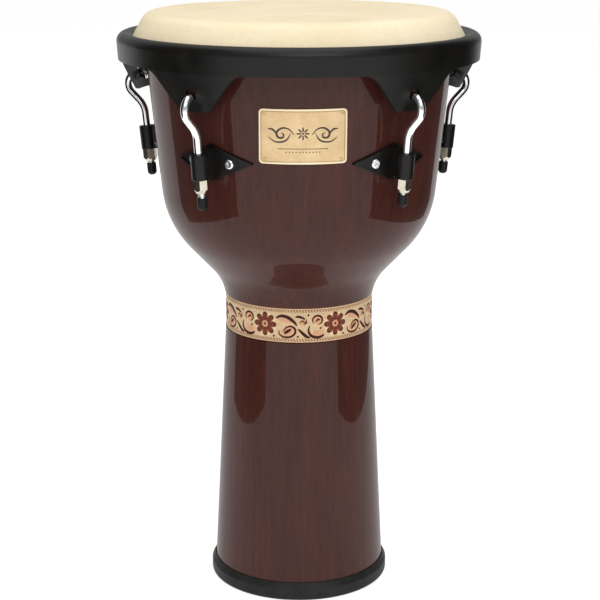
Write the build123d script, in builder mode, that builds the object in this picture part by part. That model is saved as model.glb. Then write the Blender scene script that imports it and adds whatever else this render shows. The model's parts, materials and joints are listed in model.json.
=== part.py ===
from build123d import *
import os
from math import atan2, cos, degrees, radians, sin, sqrt, tan

# A rope-free djembe: a glued two-piece wooden shell, a hide on a steel flesh hoop, and a black
# steel tension hoop pulled down by five hooks, each with its own tuning nut under a lug.
# Millimetres. +Z up, origin at the centre of the foot on the floor, front of the drum to -Y.
# Angles round the drum are counted from the front, positive towards +X.

# ---- Driving dimensions ----

# Foot ring: a rubber ring that the stem stands in
ring_radius = 95.8
ring_height = 19.0
ring_floor = 5.0
ring_lip = 0.8
ring_shoulder = 12.5
ring_inner_radius = 79.0
ring_edge = 3.0

# Stem: the lower, nearly straight cone of the shell
stem_length = 292.0
stem_foot_radius = 92.0
stem_foot_wall = 12.0

# Waist, where the two halves of the shell are glued with a spigot
waist_radius = 77.4
spigot_length = 20.0
spigot_radius = 69.0
glue_gap = 0.1

# Bowl: straight flaring wall, round shoulder, 44 degree underside, round neck
bowl_height = 311.4
bowl_wall = 16.0
rim_radius = 161.7
shoulder_radius = 139.3
shoulder_height = 95.5
shoulder_sweep = 100.0
neck_height = 30.1
neck_sweep = 56.0
bearing_edge_radius = 13.0
bearing_inner_radius = 1.2

# Waist band: a tooled leather strip let into a shallow groove round the joint
band_width = 36.9
band_thickness = 1.6
band_proud = 0.6

# Badge: a curved metal plate with a raised border, held by four nails
badge_width = 84.8
badge_height = 54.0
badge_thickness = 0.9
badge_border = 2.2
badge_border_rise = 0.6
badge_corner = 4.0
badge_centre_above_joint = 206.0
nail_head_radius = 1.5
nail_head_height = 0.7
nail_head_round = 0.3
nail_shank_radius = 0.7
nail_length = 10.0
nail_inset = 5.0

# Drumhead and its flesh hoop
skin_thickness = 1.6
collar_angle = 60.0
collar_length = 25.0
flesh_hoop_wire = 8.9
skin_gap = 0.3

# Tension hoop: rolled steel with five ears
hoop_drop = 20.2
hoop_depth = 27.0
hoop_thickness = 4.0
hoop_roll = 9.0
hoop_reach = 16.1
hoop_lip_fall = 1.6
hoop_wall_lean = 1.2
ear_drop = 37.0
ear_lean = 15.0
ear_top_width = 98.0
ear_bottom_width = 34.0
ear_root_round = 22.0
ear_tip_round = 9.0
ear_hole_radius = 6.2
ear_hole_above_tip = 16.5

# Lugs: a diamond plate on the wall, a web and a tube that the hook runs through
lug_count = 5
first_lug_angle = 36.0
lug_centre_above_joint = 177.5
lug_width = 92.0
lug_height = 37.0
lug_plate = 2.2
lug_lip = 1.0
lug_lip_width = 1.8
lug_corner = 1.2
lug_standoff = 20.7
lug_web = 9.0
lug_nut_room = 1.5
tube_wall = 4.3
tube_length = 25.2
tube_edge = 0.8

# Lug bolts, M6, through the wall into a backing plate and nuts inside
bolt_radius = 3.0
bolt_spacing = 42.0
bolt_head_radius = 5.0
bolt_head_height = 3.0
bolt_head_round = 1.8
bolt_socket = 4.0
bolt_socket_depth = 1.8
bolt_stick_out = 2.0
bolt_clearance = 0.2
backing_width = 62.0
backing_height = 22.0
backing_thickness = 2.0
backing_corner = 4.0
lock_nut_size = 10.0
lock_nut_height = 5.0
nut_seat_gap = 0.12
thread_gap = 0.05

# Hooks, M8 rod, with a tuning nut and a rubber cap on the end of each
rod_radius = 4.0
rod_clearance = 0.05
hook_eye_radius = 12.5
hook_leg_angle = 46.0
hook_bend_radius = 22.0
hook_tail_angle = 22.0
hook_tail = 6.0
hook_tip_round = 1.6
rod_end_chamfer = 0.6
tuning_nut_size = 13.0
tuning_nut_height = 13.0
tuning_nut_taper = 4.0
tuning_nut_end_radius = 5.2
rod_lift = 0.9
tube_seat_gap = 0.1
cap_wall = 0.9
cap_length = 13.0
cap_end = 3.0
cap_round = 4.0
cap_gaps = [2.2, 2.2, 2.2, 2.2, 5.0]

# How far a cutting tool runs past what it cuts
overcut = 1.0

# ---- Heights, angles and points that follow ----

joint_height = ring_floor + stem_length
rim_height = joint_height + bowl_height
head_height = rim_height + skin_thickness
lug_height_up = joint_height + lug_centre_above_joint
badge_height_up = joint_height + badge_centre_above_joint
shoulder_up = joint_height + shoulder_height
taper = atan2(rim_radius - shoulder_radius, rim_height - shoulder_up)
lug_angles = [first_lug_angle + 360 / lug_count * i for i in range(lug_count)]


def wall_radius(height):
    """Outer radius of the bowl's straight wall at a height."""
    return rim_radius - (rim_height - height) * tan(taper)


def meridian(angle):
    """Upright plane through the drum's axis: local x is outwards, local y is up."""
    a = radians(angle)
    return Plane((0, 0, 0), x_dir=(sin(a), -cos(a), 0), z_dir=(-cos(a), -sin(a), 0))


def wall_plane(angle, height):
    """Plane lying on the bowl's wall: x runs round it, y up it, z outwards."""
    a = radians(angle)
    r = wall_radius(height)
    return Plane(
        (r * sin(a), -r * cos(a), height),
        x_dir=(cos(a), sin(a), 0),
        z_dir=(sin(a) * cos(taper), -cos(a) * cos(taper), -sin(taper)),
    )


def meet(p, p_angle, q, q_angle):
    """Point where two lines cross; angles are from the vertical, leaning outwards."""
    px, pz = sin(radians(p_angle)), cos(radians(p_angle))
    qx, qz = sin(radians(q_angle)), cos(radians(q_angle))
    t = ((q[0] - p[0]) * qz - (q[1] - p[1]) * qx) / (px * qz - pz * qx)
    return (p[0] + px * t, p[1] + pz * t)


def wall_patch(plane, outline, inner, outer):
    """A plate that follows the bowl's wall between two offsets, cut to an outline."""
    reach = 2 * max(badge_height, lug_height)
    lean, rise = cos(taper), -sin(taper)
    low, high = plane.origin.Z - reach, plane.origin.Z + reach
    corners = []
    for height, out in ((low, inner), (low, outer), (high, outer), (high, inner)):
        corners.append((wall_radius(height) + out * lean, height + out * rise))
    with BuildPart() as patch:
        with BuildSketch(Plane.XZ):
            with BuildLine():
                Polyline(*corners, close=True)
            make_face()
        revolve(axis=Axis.Z)
        with BuildSketch(plane.offset(-reach / 2)):
            add(outline)
        extrude(amount=reach, mode=Mode.INTERSECT)
    return patch.part


def off_axis(shape):
    """Distance of a shape's centre from the drum's axis."""
    return sqrt(shape.center().X ** 2 + shape.center().Y ** 2)


def save(part, name):
    part.label = name
    export_step(part, f"parts/{name}.step")
    box = part.bounding_box()
    print(f"{name:20s} {part.volume:12.1f} mm3  {box.size.X:.1f} x {box.size.Y:.1f} x {box.size.Z:.1f}")


os.makedirs("parts", exist_ok=True)

# ---- Shell ----

groove_radius = waist_radius - band_thickness + band_proud
band_low, band_high = joint_height - band_width / 2, joint_height + band_width / 2
stem_slope = (stem_foot_radius - waist_radius) / stem_length

with BuildPart() as stem:
    with BuildSketch(Plane.XZ):
        with BuildLine():
            Polyline(
                (stem_foot_radius - stem_foot_wall, ring_floor),
                (stem_foot_radius, ring_floor),
                (waist_radius, joint_height),
                (spigot_radius, joint_height),
                (spigot_radius, joint_height + spigot_length),
                (waist_radius - bowl_wall, joint_height + spigot_length),
                (waist_radius - bowl_wall, joint_height),
                close=True,
            )
        make_face()
    revolve(axis=Axis.Z)
    with BuildSketch(Plane.XY.offset(band_low)):
        Circle(waist_radius + band_width)
        Circle(groove_radius, mode=Mode.SUBTRACT)
    extrude(amount=band_width / 2, mode=Mode.SUBTRACT)
save(stem.part, "shell_stem")

neck_corner = (waist_radius, joint_height + neck_height)
shoulder_corner = (shoulder_radius, shoulder_up)
over_rim = rim_height + bowl_wall
wall_end = (wall_radius(over_rim), over_rim)
# the bearing edge's round takes no more than the top of the wall has
rim_spread = tan(taper) + 1 / cos(taper)
bearing_round = min(bearing_edge_radius, (bowl_wall / cos(taper) - bearing_inner_radius) / rim_spread)

with BuildPart() as bowl:
    with BuildSketch(Plane.XZ):
        with BuildLine():
            FilletPolyline(
                (waist_radius, joint_height),
                neck_corner,
                shoulder_corner,
                wall_end,
                radius=(neck_sweep, shoulder_sweep),
            )
            offset(amount=bowl_wall, side=Side.LEFT)
        make_face()
    revolve(axis=Axis.Z)
    split(bisect_by=Plane.XY.offset(rim_height), keep=Keep.BOTTOM)
    rim_edges = bowl.edges().group_by(Axis.Z)[-1].sort_by(SortBy.RADIUS)
    fillet(rim_edges[-1], bearing_round)
    rim_edges = bowl.edges().group_by(Axis.Z)[-1].sort_by(SortBy.RADIUS)
    fillet(rim_edges[0], bearing_inner_radius)
    # socket for the stem's spigot
    with BuildSketch(Plane.XY.offset(joint_height)):
        Circle(spigot_radius + glue_gap)
    extrude(amount=spigot_length + glue_gap, mode=Mode.SUBTRACT)
    # groove for the waist band
    with BuildSketch(Plane.XY.offset(joint_height)):
        Circle(waist_radius + band_width)
        Circle(groove_radius, mode=Mode.SUBTRACT)
    extrude(amount=band_width / 2, mode=Mode.SUBTRACT)

bolt_angle = degrees(bolt_spacing / 2 / wall_radius(lug_height_up))
bolt_planes = []
for angle in lug_angles:
    pair = [wall_plane(angle + side * bolt_angle, lug_height_up) for side in (-1, 1)]
    bolt_planes.append(pair)

nail_planes = []
nail_angle = degrees((badge_width / 2 - nail_inset) / wall_radius(badge_height_up))
for side in (-1, 1):
    for up in (-1, 1):
        height = badge_height_up + up * (badge_height / 2 - nail_inset) * cos(taper)
        nail_planes.append(wall_plane(side * nail_angle, height))

with bowl:
    for pair in bolt_planes:
        with BuildSketch(*[plane.offset(overcut) for plane in pair]):
            Circle(bolt_radius + bolt_clearance)
        extrude(amount=-bowl_wall - 4 * overcut, mode=Mode.SUBTRACT)
    with BuildSketch(*[plane.offset(overcut) for plane in nail_planes]):
        Circle(nail_shank_radius + thread_gap)
    extrude(amount=-nail_length - 2 * overcut, mode=Mode.SUBTRACT)
save(bowl.part, "shell_bowl")

with BuildPart() as band:
    with BuildSketch(Plane.XY.offset(band_low)):
        Circle(groove_radius + band_thickness)
        Circle(groove_radius, mode=Mode.SUBTRACT)
    extrude(amount=band_width)
save(band.part, "waist_band")

stem_at_lip = stem_foot_radius - (ring_height - ring_floor) * stem_slope
with BuildPart() as foot:
    with BuildSketch(Plane.XZ) as ring_section:
        with BuildLine():
            Polyline(
                (ring_inner_radius, 0),
                (ring_radius, 0),
                (ring_radius, ring_shoulder),
                (stem_at_lip + ring_lip, ring_height),
                (stem_at_lip, ring_height),
                (stem_foot_radius, ring_floor),
                (ring_inner_radius, ring_floor),
                close=True,
            )
        make_face()
        outer_corners = ring_section.vertices().group_by(Axis.X)[-1]
        fillet(outer_corners, ring_edge)
    revolve(axis=Axis.Z)
save(foot.part, "foot_ring")

# ---- Badge and its nails ----

badge_plane = wall_plane(0, badge_height_up)
with BuildSketch() as badge_outline:
    RectangleRounded(badge_width, badge_height, badge_corner)
with BuildSketch() as badge_field:
    field_width = badge_width - 2 * badge_border
    RectangleRounded(field_width, badge_height - 2 * badge_border, badge_corner - badge_border / 2)

badge_top = badge_thickness + badge_border_rise
with BuildPart() as badge:
    add(wall_patch(badge_plane, badge_outline.sketch, 0, badge_top))
    badge_recess = wall_patch(badge_plane, badge_field.sketch, badge_thickness, badge_top + overcut)
    add(badge_recess, mode=Mode.SUBTRACT)
    with BuildSketch(*[plane.offset(-overcut) for plane in nail_planes]):
        Circle(nail_shank_radius + thread_gap)
    extrude(amount=badge_top + 3 * overcut, mode=Mode.SUBTRACT)
save(badge.part, "badge_plate")

with BuildPart() as nails:
    with BuildSketch(*[plane.offset(badge_thickness) for plane in nail_planes]):
        Circle(nail_head_radius)
    extrude(amount=nail_head_height)
    fillet(nails.edges().filter_by(GeomType.CIRCLE), nail_head_round)
    with BuildSketch(*[plane.offset(badge_thickness + nail_head_height / 2) for plane in nail_planes]):
        Circle(nail_shank_radius)
    extrude(amount=-nail_length)
save(nails.part, "badge_nails")

# ---- Drumhead and flesh hoop ----

crest_radius = rim_radius - bearing_round * rim_spread
bearing_centre = (crest_radius, rim_height - bearing_round)
out_r, out_z = sin(radians(collar_angle)), cos(radians(collar_angle))
collar_top = (bearing_centre[0] + bearing_round * out_r, bearing_centre[1] + bearing_round * out_z)
collar_foot = (collar_top[0] + collar_length * out_z, collar_top[1] - collar_length * out_r)
wrap_radius = flesh_hoop_wire / 2 + skin_gap
flesh_centre = (collar_foot[0] - wrap_radius * out_r, collar_foot[1] - wrap_radius * out_z)

with BuildPart() as drumhead:
    with BuildSketch(Plane.XZ):
        with BuildLine():
            Line((0, rim_height), (crest_radius, rim_height))
            CenterArc(bearing_centre, bearing_round, 90, -collar_angle)
            Line(collar_top, collar_foot)
            offset(amount=skin_thickness, side=Side.LEFT)
        make_face()
        with Locations(flesh_centre):
            Circle(wrap_radius + skin_thickness)
            Circle(wrap_radius, mode=Mode.SUBTRACT)
    revolve(axis=Axis.Z)
save(drumhead.part, "drumhead")

with BuildPart() as flesh_hoop:
    with BuildSketch(Plane.XZ):
        with Locations(flesh_centre):
            Circle(flesh_hoop_wire / 2)
    revolve(axis=Axis.Z)
save(flesh_hoop.part, "flesh_hoop")

# ---- Tension hoop ----

hoop_top = head_height - hoop_drop
lip_round = hoop_thickness / 2
lip_up = hoop_top - hoop_lip_fall - lip_round
# the lip's round end stands skin_gap off the slanting collar
lip_off = skin_thickness + skin_gap + lip_round
lip_r = collar_top[0] + (lip_off + (collar_top[1] - lip_up) * out_z) / out_r
hoop_radius = lip_r - lip_round + hoop_reach
roll_centre = (hoop_radius - hoop_roll, hoop_top - hoop_roll)
hoop_low = hoop_top - hoop_depth
hoop_foot_radius = hoop_radius - hoop_wall_lean
inner_roll = hoop_roll - hoop_thickness
lean_tan = tan(radians(ear_lean))


def ear_radius(height):
    """Outer radius of an ear, which leans inwards below the hoop's wall."""
    return hoop_foot_radius - (hoop_low - height) * lean_tan


ear_tip = hoop_low - ear_drop
hole_up = ear_tip + ear_hole_above_tip

with BuildPart() as ear:
    with BuildSketch(Plane.XZ):
        with BuildLine():
            Polyline(
                (ear_radius(ear_tip - overcut), ear_tip - overcut),
                (hoop_foot_radius, hoop_low),
                (hoop_foot_radius - hoop_thickness, hoop_low),
                (ear_radius(ear_tip - overcut) - hoop_thickness, ear_tip - overcut),
                close=True,
            )
        make_face()
    revolve(axis=Axis.Z)
    with BuildSketch(Plane.XZ) as ear_outline:
        with BuildLine():
            Polyline(
                (-ear_top_width, hoop_low + overcut),
                (-ear_top_width, hoop_low),
                (-ear_top_width / 2, hoop_low),
                (-ear_bottom_width / 2, ear_tip),
                (ear_bottom_width / 2, ear_tip),
                (ear_top_width / 2, hoop_low),
                (ear_top_width, hoop_low),
                (ear_top_width, hoop_low + overcut),
                close=True,
            )
        make_face()
        level = ear_outline.vertices().group_by(Axis.Y)
        fillet(level[1].sort_by(Axis.X)[1:3], ear_root_round)
        fillet(level[0], ear_tip_round)
    extrude(amount=hoop_radius + hoop_roll, mode=Mode.INTERSECT)
    with BuildSketch(Plane.XZ):
        with Locations((0, hole_up)):
            Circle(ear_hole_radius)
    extrude(amount=hoop_radius + hoop_roll, mode=Mode.SUBTRACT)

with BuildPart() as hoop:
    with BuildSketch(Plane.XZ) as hoop_section:
        with BuildLine():
            Line((hoop_foot_radius, hoop_low), (hoop_radius, roll_centre[1]))
            CenterArc(roll_centre, hoop_roll, 0, 90)
            Line((roll_centre[0], hoop_top), (lip_r, lip_up + lip_round))
            CenterArc((lip_r, lip_up), lip_round, 90, 180)
            Line((lip_r, lip_up - lip_round), (roll_centre[0], hoop_top - hoop_thickness))
            CenterArc(roll_centre, inner_roll, 90, -90)
            Line(
                (hoop_radius - hoop_thickness, roll_centre[1]),
                (hoop_foot_radius - hoop_thickness, hoop_low),
            )
            Line((hoop_foot_radius - hoop_thickness, hoop_low), (hoop_foot_radius, hoop_low))
        make_face()
    revolve(axis=Axis.Z)
    with PolarLocations(0, lug_count, start_angle=first_lug_angle):
        add(ear.part)
save(hoop.part, "tension_hoop")

# ---- Lugs, bolts, backing plates and lock nuts ----


def diamond(width, height, corner):
    """A diamond outline with slightly rounded corners."""
    with BuildSketch() as shape:
        with BuildLine():
            Polyline((width / 2, 0), (0, height / 2), (-width / 2, 0), (0, -height / 2), close=True)
        make_face()
        fillet(shape.vertices(), corner)
    return shape.sketch


lug_outline = diamond(lug_width, lug_height, lug_corner)
lip_share = lug_lip_width * sqrt(lug_width**2 + lug_height**2)
lug_field = diamond(
    lug_width - 2 * lip_share / lug_height, lug_height - 2 * lip_share / lug_width, lug_corner
)
nut_corner = tuning_nut_size / sqrt(3)
# the web narrows to the tube's length before it reaches the tuning nut
web_root, web_tip = lug_height / 2 - lug_lip_width, tube_length / 2 - tube_edge
web_step = lug_standoff - nut_corner - lug_nut_room
with BuildSketch() as backing_outline:
    RectangleRounded(backing_width, backing_height, backing_corner)


def tube_plane(angle):
    """Square to a lug's tube at its middle: local z runs up the tube."""
    wall = wall_plane(angle, lug_height_up).offset(lug_standoff)
    return Plane(wall.origin, x_dir=wall.x_dir, z_dir=wall.y_dir)


def web_plane(angle):
    """Upright plane through a tube: local x is outwards from the wall, local y up it."""
    wall = wall_plane(angle, lug_height_up)
    return Plane(wall.origin, x_dir=wall.z_dir, z_dir=-wall.x_dir)


for number, angle in enumerate(lug_angles, 1):
    wall = wall_plane(angle, lug_height_up)
    lug_plate_blank = wall_patch(wall, lug_outline, 0, lug_plate + lug_lip)
    lug_plate_blank -= wall_patch(wall, lug_field, lug_plate, lug_plate + lug_lip + overcut)
    with BuildPart() as lug:
        with BuildSketch(tube_plane(angle)):
            Circle(rod_radius + tube_wall)
        extrude(amount=tube_length / 2, both=True)
        fillet(lug.edges().filter_by(GeomType.CIRCLE), tube_edge)
        with BuildSketch(web_plane(angle)):
            with BuildLine():
                Polyline(
                    (lug_plate / 2, -web_root),
                    (web_step, -web_tip),
                    (lug_standoff, -web_tip),
                    (lug_standoff, web_tip),
                    (web_step, web_tip),
                    (lug_plate / 2, web_root),
                    close=True,
                )
            make_face()
        extrude(amount=lug_web / 2, both=True)
        add(lug_plate_blank)
        with BuildSketch(tube_plane(angle)):
            Circle(rod_radius + rod_clearance)
        extrude(amount=tube_length, both=True, mode=Mode.SUBTRACT)
        with BuildSketch(*[plane.offset(-overcut) for plane in bolt_planes[number - 1]]):
            Circle(bolt_radius + bolt_clearance)
        extrude(amount=lug_plate + lug_lip + 3 * overcut, mode=Mode.SUBTRACT)
    save(lug.part, f"lug_{number}")

    inside = bowl_wall + backing_thickness
    with BuildPart() as backing:
        add(wall_patch(wall, backing_outline.sketch, -inside, -bowl_wall))
        with BuildSketch(*[plane.offset(-inside - overcut) for plane in bolt_planes[number - 1]]):
            Circle(bolt_radius + bolt_clearance)
        extrude(amount=backing_thickness + 3 * overcut, mode=Mode.SUBTRACT)
    save(backing.part, f"backing_plate_{number}")

    shank = lug_plate + inside + nut_seat_gap + lock_nut_height + bolt_stick_out
    seats = [plane.offset(lug_plate) for plane in bolt_planes[number - 1]]
    with BuildPart() as bolts:
        with BuildSketch(*seats):
            Circle(bolt_head_radius)
        extrude(amount=bolt_head_height)
        outermost = bolts.edges().filter_by(GeomType.CIRCLE).sort_by(off_axis)[-len(seats):]
        fillet(outermost, bolt_head_round)
        with BuildSketch(*[seat.offset(bolt_head_height) for seat in seats]):
            RegularPolygon(bolt_socket / 2, 6, major_radius=False)
        extrude(amount=-bolt_socket_depth, mode=Mode.SUBTRACT)
        with BuildSketch(*seats):
            Circle(bolt_radius)
        extrude(amount=-shank)
    save(bolts.part, f"lug_bolts_{number}")

    with BuildPart() as lock_nuts:
        for plane in bolt_planes[number - 1]:
            with BuildSketch(plane.offset(-inside - nut_seat_gap)):
                RegularPolygon(lock_nut_size / 2, 6, major_radius=False)
                Circle(bolt_radius + thread_gap, mode=Mode.SUBTRACT)
            extrude(amount=-lock_nut_height)
    save(lock_nuts.part, f"lock_nuts_{number}")

# ---- Hooks, caps and tuning nuts ----

# All in the plane through the drum's axis, as (radius, height)
lean = degrees(taper)
tube_middle = (
    wall_radius(lug_height_up) + lug_standoff * cos(taper),
    lug_height_up - lug_standoff * sin(taper),
)


def along_tube(distance):
    """Point on the tube's axis, a distance up from its middle."""
    return (tube_middle[0] + distance * sin(taper), tube_middle[1] + distance * cos(taper))


# the rod lies just above the lower edge of the ear's hole
rod_drop = ear_hole_radius - rod_radius - rod_lift
rod_up = hole_up - rod_drop
eye_centre = (ear_radius(rod_up) - hoop_thickness / 2, rod_up - hook_eye_radius)
leg = radians(hook_leg_angle)
eye_start = (eye_centre[0] + hook_eye_radius * cos(leg), eye_centre[1] - hook_eye_radius * sin(leg))
eye_turn = hook_leg_angle + 90 + hook_tail_angle
hook_corner = meet(along_tube(0), lean, eye_start, hook_leg_angle)
nut_top = -tube_length / 2 - tube_seat_gap
nut_bottom = nut_top - tuning_nut_height

for number, angle in enumerate(lug_angles, 1):
    cap_top = nut_bottom - cap_gaps[number - 1]
    rod_end = cap_top - cap_length + cap_end
    with BuildPart() as hook:
        with BuildLine(meridian(angle)) as route:
            FilletPolyline(along_tube(rod_end), hook_corner, eye_start, radius=hook_bend_radius)
            eye = CenterArc(eye_centre, hook_eye_radius, -hook_leg_angle, eye_turn)
            PolarLine(eye @ 1, hook_tail, direction=eye % 1)
        end = tube_plane(angle).offset(rod_end)
        with BuildSketch(end):
            Circle(rod_radius)
        sweep(path=route.wire())
        ends = [hook.faces().sort_by(Axis.Z)[0], hook.faces().filter_by(GeomType.PLANE).sort_by(Axis.Z)[-1]]
        fillet(ends[1].edges(), hook_tip_round)
        chamfer(ends[0].edges(), rod_end_chamfer)
    save(hook.part, f"hook_{number}")

    with BuildPart() as cap:
        with BuildSketch(tube_plane(angle).offset(cap_top - cap_length)):
            Circle(rod_radius + cap_wall)
        extrude(amount=cap_length)
        rims = cap.edges().filter_by(GeomType.CIRCLE).sort_by(Axis.Z)
        fillet(rims[0], cap_round)
        with BuildSketch(end):
            Circle(rod_radius)
        extrude(amount=cap_length, mode=Mode.SUBTRACT)
    save(cap.part, f"rubber_cap_{number}")

    with BuildPart() as nut:
        with BuildSketch(tube_plane(angle).offset(nut_bottom)):
            RegularPolygon(tuning_nut_size / 2, 6, major_radius=False)
        extrude(amount=tuning_nut_height)
        # the lower end is turned to a taper
        with BuildSketch(web_plane(angle)):
            with BuildLine():
                Polyline(
                    (lug_standoff, nut_bottom),
                    (lug_standoff + tuning_nut_end_radius, nut_bottom),
                    (lug_standoff + nut_corner, nut_bottom + tuning_nut_taper),
                    (lug_standoff + nut_corner, nut_top),
                    (lug_standoff, nut_top),
                    close=True,
                )
            make_face()
        axis = Axis(tube_plane(angle).origin, tube_plane(angle).z_dir)
        revolve(axis=axis, mode=Mode.INTERSECT)
        with BuildSketch(tube_plane(angle).offset(nut_bottom - overcut)):
            Circle(rod_radius + rod_clearance)
        extrude(amount=tuning_nut_height + 2 * overcut, mode=Mode.SUBTRACT)
    save(nut.part, f"tuning_nut_{number}")
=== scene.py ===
import json
from math import atan2, cos, pi, radians, sin, tan

import bpy
import numpy as np
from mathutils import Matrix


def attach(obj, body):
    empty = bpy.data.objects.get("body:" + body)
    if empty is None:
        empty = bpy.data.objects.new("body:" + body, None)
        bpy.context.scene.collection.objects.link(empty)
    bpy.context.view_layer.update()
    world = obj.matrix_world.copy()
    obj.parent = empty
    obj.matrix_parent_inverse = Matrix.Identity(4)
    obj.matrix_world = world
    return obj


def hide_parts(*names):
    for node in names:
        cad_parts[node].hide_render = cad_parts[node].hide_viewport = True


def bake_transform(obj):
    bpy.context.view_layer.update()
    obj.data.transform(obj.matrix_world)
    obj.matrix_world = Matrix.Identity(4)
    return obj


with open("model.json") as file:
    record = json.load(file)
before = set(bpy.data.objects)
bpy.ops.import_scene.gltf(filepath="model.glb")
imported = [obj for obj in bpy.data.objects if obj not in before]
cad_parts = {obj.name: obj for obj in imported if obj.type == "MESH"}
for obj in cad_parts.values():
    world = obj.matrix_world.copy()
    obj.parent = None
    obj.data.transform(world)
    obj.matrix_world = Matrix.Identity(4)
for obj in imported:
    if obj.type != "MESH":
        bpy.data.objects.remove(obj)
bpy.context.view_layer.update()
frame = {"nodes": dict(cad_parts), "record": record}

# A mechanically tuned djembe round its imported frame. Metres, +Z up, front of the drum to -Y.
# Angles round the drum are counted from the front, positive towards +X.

nodes = frame["nodes"]
record = frame["record"]
mm = 0.001
print("frame loaded:", len(nodes), "nodes")

# a long lens a little above the head, looking down on it; the angles are in degrees
cameraSet = dict(lens=97.15, distance=1.6735, height=0.7402, pitch=14.604, aside=1.47, shift=0.0016667)

cameraData = bpy.data.cameras.new("camera")
cameraData.lens = cameraSet["lens"]
cameraData.shift_x = cameraSet["shift"]
camera = bpy.data.objects.new("camera", cameraData)
aside = radians(cameraSet["aside"])
camera.location = (
    -cameraSet["distance"] * sin(aside), -cameraSet["distance"] * cos(aside), cameraSet["height"]
)
camera.rotation_euler = (radians(90 - cameraSet["pitch"]), 0, -aside)
bpy.context.scene.collection.objects.link(camera)
bpy.context.scene.camera = camera
bpy.context.scene.view_settings.view_transform = "Standard"


def unit(v):
    # a vector, or each row of an array, made one long
    v = np.asarray(v, float)
    return v / np.maximum(np.linalg.norm(v, axis=-1, keepdims=True), 1e-12)


def roundedPath(corners, radii, closed=False, turnStep=6.0, guard=0.5 * mm):
    # A flat path of straight runs. Each corner is an arc that touches both runs: its centre is a
    # radius off both, and its points are centre + radius * (sin a * run - cos a * inward). A point
    # stands guard before and after each arc, which keeps the shading of the runs flat.
    corners = np.asarray(corners, float)
    count = len(corners)
    points = []
    for i, radius in enumerate(radii):
        here = corners[i]
        if not closed and i in (0, count - 1):
            points.append(here[None])
            continue
        before = unit(here - corners[i - 1])
        after = unit(corners[(i + 1) % count] - here)
        cross = before[0] * after[1] - before[1] * after[0]
        turn = atan2(cross, float(before @ after))
        if radius == 0:
            points.append(here[None])
            continue
        inward = np.array([-before[1], before[0]]) * np.sign(turn)
        start = here - before * radius * tan(abs(turn) / 2)
        end = here + after * radius * tan(abs(turn) / 2)
        centre = start + inward * radius
        a = np.linspace(0, abs(turn), max(3, int(abs(turn) / radians(turnStep)) + 2))[:, None]
        arc = centre + radius * (np.sin(a) * before - np.cos(a) * inward)
        points += [(start - before * guard)[None], arc, (end + after * guard)[None]]
    return np.concatenate(points)


def makeMesh(name, rings, closed=False, poles=(None, None), colours=None):
    # rings[i, j] is a grid of points: i runs along the section or path, j runs round.
    # Neighbours make quads, also from the last row to the first if it is closed, and a pole is
    # joined to its ring by triangles. The faces are turned outwards if the volume that they
    # enclose comes out negative. Colours go into the tooling attribute.
    count, around = rings.shape[:2]
    grid = np.arange(count * around).reshape(count, around)
    down = np.roll(grid, -1, axis=0) if closed else grid[1:]
    up = grid if closed else grid[:-1]
    quads = np.stack([up, np.roll(up, -1, 1), np.roll(down, -1, 1), down], axis=-1).reshape(-1, 4)
    points = [rings.reshape(-1, 3)]
    fans = []
    for pole, ring, order in ((poles[0], grid[0], 1), (poles[1], grid[-1], -1)):
        if pole is not None:
            tip = sum(len(p) for p in points)
            points.append(np.asarray(pole, float).reshape(1, 3))
            fan = np.stack([np.full(around, tip), np.roll(ring, -1), ring][::order], axis=-1)
            fans.append(fan)
    points = np.concatenate(points)
    fans = np.concatenate(fans) if fans else np.zeros((0, 3), int)
    triangles = np.concatenate([quads[:, [0, 1, 2]], quads[:, [0, 2, 3]], fans])
    a, b, c = (points[triangles[:, k]] for k in range(3))
    if np.einsum("ij,ij->i", a, np.cross(b, c)).sum() < 0:
        quads, fans = quads[:, ::-1], fans[:, ::-1]
    mesh = bpy.data.meshes.new(name)
    mesh.vertices.add(len(points))
    mesh.vertices.foreach_set("co", points.astype(np.float32).ravel())
    loops = np.concatenate([quads.ravel(), fans.ravel()])
    mesh.loops.add(len(loops))
    mesh.loops.foreach_set("vertex_index", loops.astype(np.int32))
    starts = np.concatenate([np.arange(len(quads)) * 4, len(quads) * 4 + np.arange(len(fans)) * 3])
    mesh.polygons.add(len(starts))
    mesh.polygons.foreach_set("loop_start", starts.astype(np.int32))
    mesh.polygons.foreach_set("use_smooth", np.ones(len(starts), bool))
    mesh.update(calc_edges=True)
    if colours is not None:
        full = np.ones((len(points), 4), np.float32)
        full[:colours.size // 3, :3] = colours.reshape(-1, 3)
        layer = mesh.attributes.new("tooling", "FLOAT_COLOR", "POINT")
        layer.data.foreach_set("color", full.ravel())
    piece = bpy.data.objects.new(name, mesh)
    bpy.context.scene.collection.objects.link(piece)
    return piece


def roundDrum(r, t, z):
    # points at a radius r, an angle t round the drum and a height z: (r sin t, -r cos t, z)
    return np.stack([r * np.sin(t), -r * np.cos(t), z + 0 * t], axis=-1)


def lathe(name, section, around):
    # each point (r, z) of a closed section goes round the axis in even steps
    t = np.arange(around) * 2 * pi / around
    return makeMesh(name, roundDrum(section[:, :1], t, section[:, 1:]), closed=True)


def newMaterial(name, settings):
    # a Principled material with these values in its sockets
    material = bpy.data.materials.new(name)
    material.use_nodes = True
    shader = material.node_tree.nodes["Principled BSDF"]
    for socket, value in settings.items():
        shader.inputs[socket].default_value = value
    return material, material.node_tree, shader


def isSocket(value):
    return isinstance(value, bpy.types.NodeSocket)


def node(tree, kind, inputs, **settings):
    # one shader node; an input takes a plain value, or is linked to the socket that it is given
    made = tree.nodes.new(kind)
    for key, value in settings.items():
        setattr(made, key, value)
    for key, value in inputs.items():
        if isSocket(value):
            tree.links.new(value, made.inputs[key])
        else:
            made.inputs[key].default_value = value
    return made


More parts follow.
